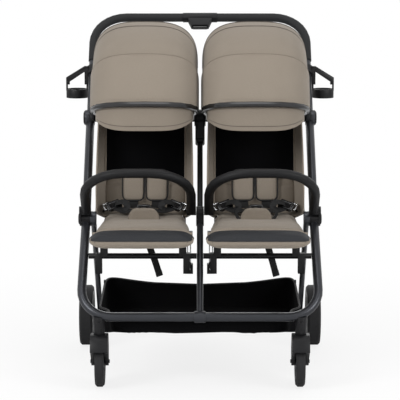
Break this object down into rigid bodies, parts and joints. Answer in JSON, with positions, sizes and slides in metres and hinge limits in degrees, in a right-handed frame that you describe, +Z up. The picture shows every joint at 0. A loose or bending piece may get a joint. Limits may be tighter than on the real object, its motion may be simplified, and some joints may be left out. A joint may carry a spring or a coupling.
{
  "type": "side-by-side double stroller",
  "caption": "Folding side-by-side double stroller: tube frame on swivel castors, reclining seats with bumper bars, folding canopies, cup rings and a basket.",
  "frame": {"origin": "on the ground under the middle of the stroller's bounding box", "axes": "+Z up, -Y the way the children face, +X to the pusher's left"},
  "size_m": [0.85, 0.8826, 1.0517],
  "materials": {
    "graphite": "satin powder coat",
    "black_plastic": "fine-textured moulding",
    "gloss_black_plastic": "semi-gloss moulding",
    "grip_foam": "closed-cell foam",
    "black_leatherette": "fine-grained leatherette",
    "tyre_rubber": "matte foam rubber",
    "taupe_cloth": "plain woven polyester",
    "black_cloth": "black woven polyester"
  },
  "bodies": {
    "chassis": {"front_frame_tube": "graphite", "centre_front_leg": "graphite", "push_tube_left": "graphite", "push_tube_right": "graphite", "centre_column": "black_plastic", "lower_joint_left": "black_plastic", "lower_joint_right": "black_plastic", "upper_joint_left": "black_plastic", "upper_joint_right": "black_plastic", "seat_frame_left": "black_plastic", "seat_frame_right": "black_plastic", "seat_pad_left": "taupe_cloth", "seat_pad_right": "taupe_cloth", "seat_buckle_left": "gloss_black_plastic", "seat_buckle_right": "gloss_black_plastic", "basket": "black_cloth", "castor_housing_left": "black_plastic", "castor_housing_right": "black_plastic", "canopy_rear_left": "taupe_cloth", "canopy_rear_right": "taupe_cloth"},
    "rear_frame": {"rear_frame": "graphite"},
    "brake_pedal": {"brake_pedal": "black_plastic"},
    "handle": {"handle_grip": "grip_foam", "handle_leg_left": "graphite", "handle_leg_right": "graphite", "fold_housing": "black_plastic", "cup_holder_left": "gloss_black_plastic", "cup_holder_right": "gloss_black_plastic"},
    "fold_button": {"fold_button": "gloss_black_plastic"},
    "castor_left": {"castor_fork_left": "black_plastic"},
    "front_wheel_left": {"front_left_tyre": "tyre_rubber", "front_left_rim": "black_plastic"},
    "rear_wheel_left": {"rear_left_tyre": "tyre_rubber", "rear_left_rim": "black_plastic"},
    "swivel_lock_left": {"swivel_lock_left": "black_plastic"},
    "backrest_left": {"backrest_left": "taupe_cloth", "shoulder_pads_left": "taupe_cloth"},
    "calf_rest_left": {"calf_rest_left": "taupe_cloth"},
    "bumper_bar_left": {"bumper_bar_left": "black_leatherette"},
    "buckle_button_left": {"buckle_button_left": "black_plastic"},
    "canopy_bow_left": {"canopy_bow_left": "gloss_black_plastic", "canopy_front_left": "taupe_cloth"},
    "canopy_mid_left": {"canopy_mid_left": "taupe_cloth"},
    "visor_left": {"visor_left": "taupe_cloth"},
    "castor_right": {"castor_fork_right": "black_plastic"},
    "front_wheel_right": {"front_right_tyre": "tyre_rubber", "front_right_rim": "black_plastic"},
    "rear_wheel_right": {"rear_right_tyre": "tyre_rubber", "rear_right_rim": "black_plastic"},
    "swivel_lock_right": {"swivel_lock_right": "black_plastic"},
    "backrest_right": {"backrest_right": "taupe_cloth", "shoulder_pads_right": "taupe_cloth"},
    "calf_rest_right": {"calf_rest_right": "taupe_cloth"},
    "bumper_bar_right": {"bumper_bar_right": "black_leatherette"},
    "buckle_button_right": {"buckle_button_right": "black_plastic"},
    "canopy_bow_right": {"canopy_bow_right": "gloss_black_plastic", "canopy_front_right": "taupe_cloth"},
    "canopy_mid_right": {"canopy_mid_right": "taupe_cloth"},
    "visor_right": {"visor_right": "taupe_cloth"}
  },
  "joints": [
    {"name": "frame_fold", "type": "hinge", "parent": "chassis", "child": "rear_frame", "pos_m": [0, -0.14, 0.47], "axis": [-1, 0, 0], "range_deg": [0, 52]},
    {"name": "handle_fold", "type": "hinge", "parent": "chassis", "child": "handle", "pos_m": [0, 0.13294, 0.74294], "axis": [-1, 0, 0], "range_deg": [0, 115]},
    {"name": "fold_button_press", "type": "slide", "parent": "handle", "child": "fold_button", "axis": [0, 0.7071, 0.7071], "range_m": [0, 0.004], "stiffness_N_per_m": 300},
    {"name": "brake_press", "type": "hinge", "parent": "rear_frame", "child": "brake_pedal", "pos_m": [0, 0.22, 0.096], "axis": [-1, 0, 0], "range_deg": [0, 18]},
    {"name": "castor_swivel_left", "type": "hinge", "parent": "chassis", "child": "castor_left", "pos_m": [0.294, -0.355, 0.164], "axis": [0, 0, 1], "continuous": true},
    {"name": "front_wheel_spin_left", "type": "hinge", "parent": "castor_left", "child": "front_wheel_left", "pos_m": [0.294, -0.32, 0.075], "axis": [1, 0, 0], "continuous": true},
    {"name": "rear_wheel_spin_left", "type": "hinge", "parent": "rear_frame", "child": "rear_wheel_left", "pos_m": [0.3625, 0.22, 0.096], "axis": [1, 0, 0], "continuous": true},
    {"name": "swivel_lock_left", "type": "slide", "parent": "chassis", "child": "swivel_lock_left", "axis": [0, 0, -1], "range_m": [0, 0.005]},
    {"name": "recline_left", "type": "hinge", "parent": "chassis", "child": "backrest_left", "pos_m": [0.168, -0.004, 0.468], "axis": [1, 0, 0], "range_deg": [-38, 0]},
    {"name": "calf_drop_left", "type": "hinge", "parent": "chassis", "child": "calf_rest_left", "pos_m": [0.168, -0.3186, 0.449], "axis": [1, 0, 0], "range_deg": [0, 40]},
    {"name": "bumper_tilt_left", "type": "hinge", "parent": "chassis", "child": "bumper_bar_left", "pos_m": [0.168, -0.16828, 0.49828], "axis": [1, 0, 0], "range_deg": [-12, 25]},
    {"name": "buckle_press_left", "type": "slide", "parent": "chassis", "child": "buckle_button_left", "axis": [0, 1, 0], "range_m": [0, 0.0025], "stiffness_N_per_m": 400},
    {"name": "canopy_fold_left", "type": "hinge", "parent": "chassis", "child": "canopy_bow_left", "pos_m": [0.168, 0.13294, 0.74294], "axis": [-1, 0, 0], "range_deg": [0, 56]},
    {"name": "canopy_mid_fold_left", "type": "hinge", "parent": "chassis", "child": "canopy_mid_left", "pos_m": [0.168, 0.13294, 0.74294], "axis": [-1, 0, 0], "range_deg": [0, 34]},
    {"name": "visor_tuck_left", "type": "hinge", "parent": "canopy_bow_left", "child": "visor_left", "pos_m": [0.168, 0.13294, 0.74294], "axis": [-1, 0, 0], "range_deg": [0, 10]},
    {"name": "castor_swivel_right", "type": "hinge", "parent": "chassis", "child": "castor_right", "pos_m": [-0.294, -0.355, 0.164], "axis": [0, 0, 1], "continuous": true},
    {"name": "front_wheel_spin_right", "type": "hinge", "parent": "castor_right", "child": "front_wheel_right", "pos_m": [-0.294, -0.32, 0.075], "axis": [1, 0, 0], "continuous": true},
    {"name": "rear_wheel_spin_right", "type": "hinge", "parent": "rear_frame", "child": "rear_wheel_right", "pos_m": [-0.3625, 0.22, 0.096], "axis": [1, 0, 0], "continuous": true},
    {"name": "swivel_lock_right", "type": "slide", "parent": "chassis", "child": "swivel_lock_right", "axis": [0, 0, -1], "range_m": [0, 0.005]},
    {"name": "recline_right", "type": "hinge", "parent": "chassis", "child": "backrest_right", "pos_m": [-0.168, -0.004, 0.468], "axis": [1, 0, 0], "range_deg": [-38, 0]},
    {"name": "calf_drop_right", "type": "hinge", "parent": "chassis", "child": "calf_rest_right", "pos_m": [-0.168, -0.3186, 0.449], "axis": [1, 0, 0], "range_deg": [0, 40]},
    {"name": "bumper_tilt_right", "type": "hinge", "parent": "chassis", "child": "bumper_bar_right", "pos_m": [-0.168, -0.16828, 0.49828], "axis": [1, 0, 0], "range_deg": [-12, 25]},
    {"name": "buckle_press_right", "type": "slide", "parent": "chassis", "child": "buckle_button_right", "axis": [0, 1, 0], "range_m": [0, 0.0025], "stiffness_N_per_m": 400},
    {"name": "canopy_fold_right", "type": "hinge", "parent": "chassis", "child": "canopy_bow_right", "pos_m": [-0.168, 0.13294, 0.74294], "axis": [-1, 0, 0], "range_deg": [0, 56]},
    {"name": "canopy_mid_fold_right", "type": "hinge", "parent": "chassis", "child": "canopy_mid_right", "pos_m": [-0.168, 0.13294, 0.74294], "axis": [-1, 0, 0], "range_deg": [0, 34]},
    {"name": "visor_tuck_right", "type": "hinge", "parent": "canopy_bow_right", "child": "visor_right", "pos_m": [-0.168, 0.13294, 0.74294], "axis": [-1, 0, 0], "range_deg": [0, 10]}
  ],
  "couplings": [
    {"joint": "handle_fold", "follows": "frame_fold", "ratio": 2.2},
    {"joint": "canopy_mid_fold_left", "follows": "canopy_fold_left", "ratio": 0.6},
    {"joint": "canopy_mid_fold_right", "follows": "canopy_fold_right", "ratio": 0.6}
  ]
}
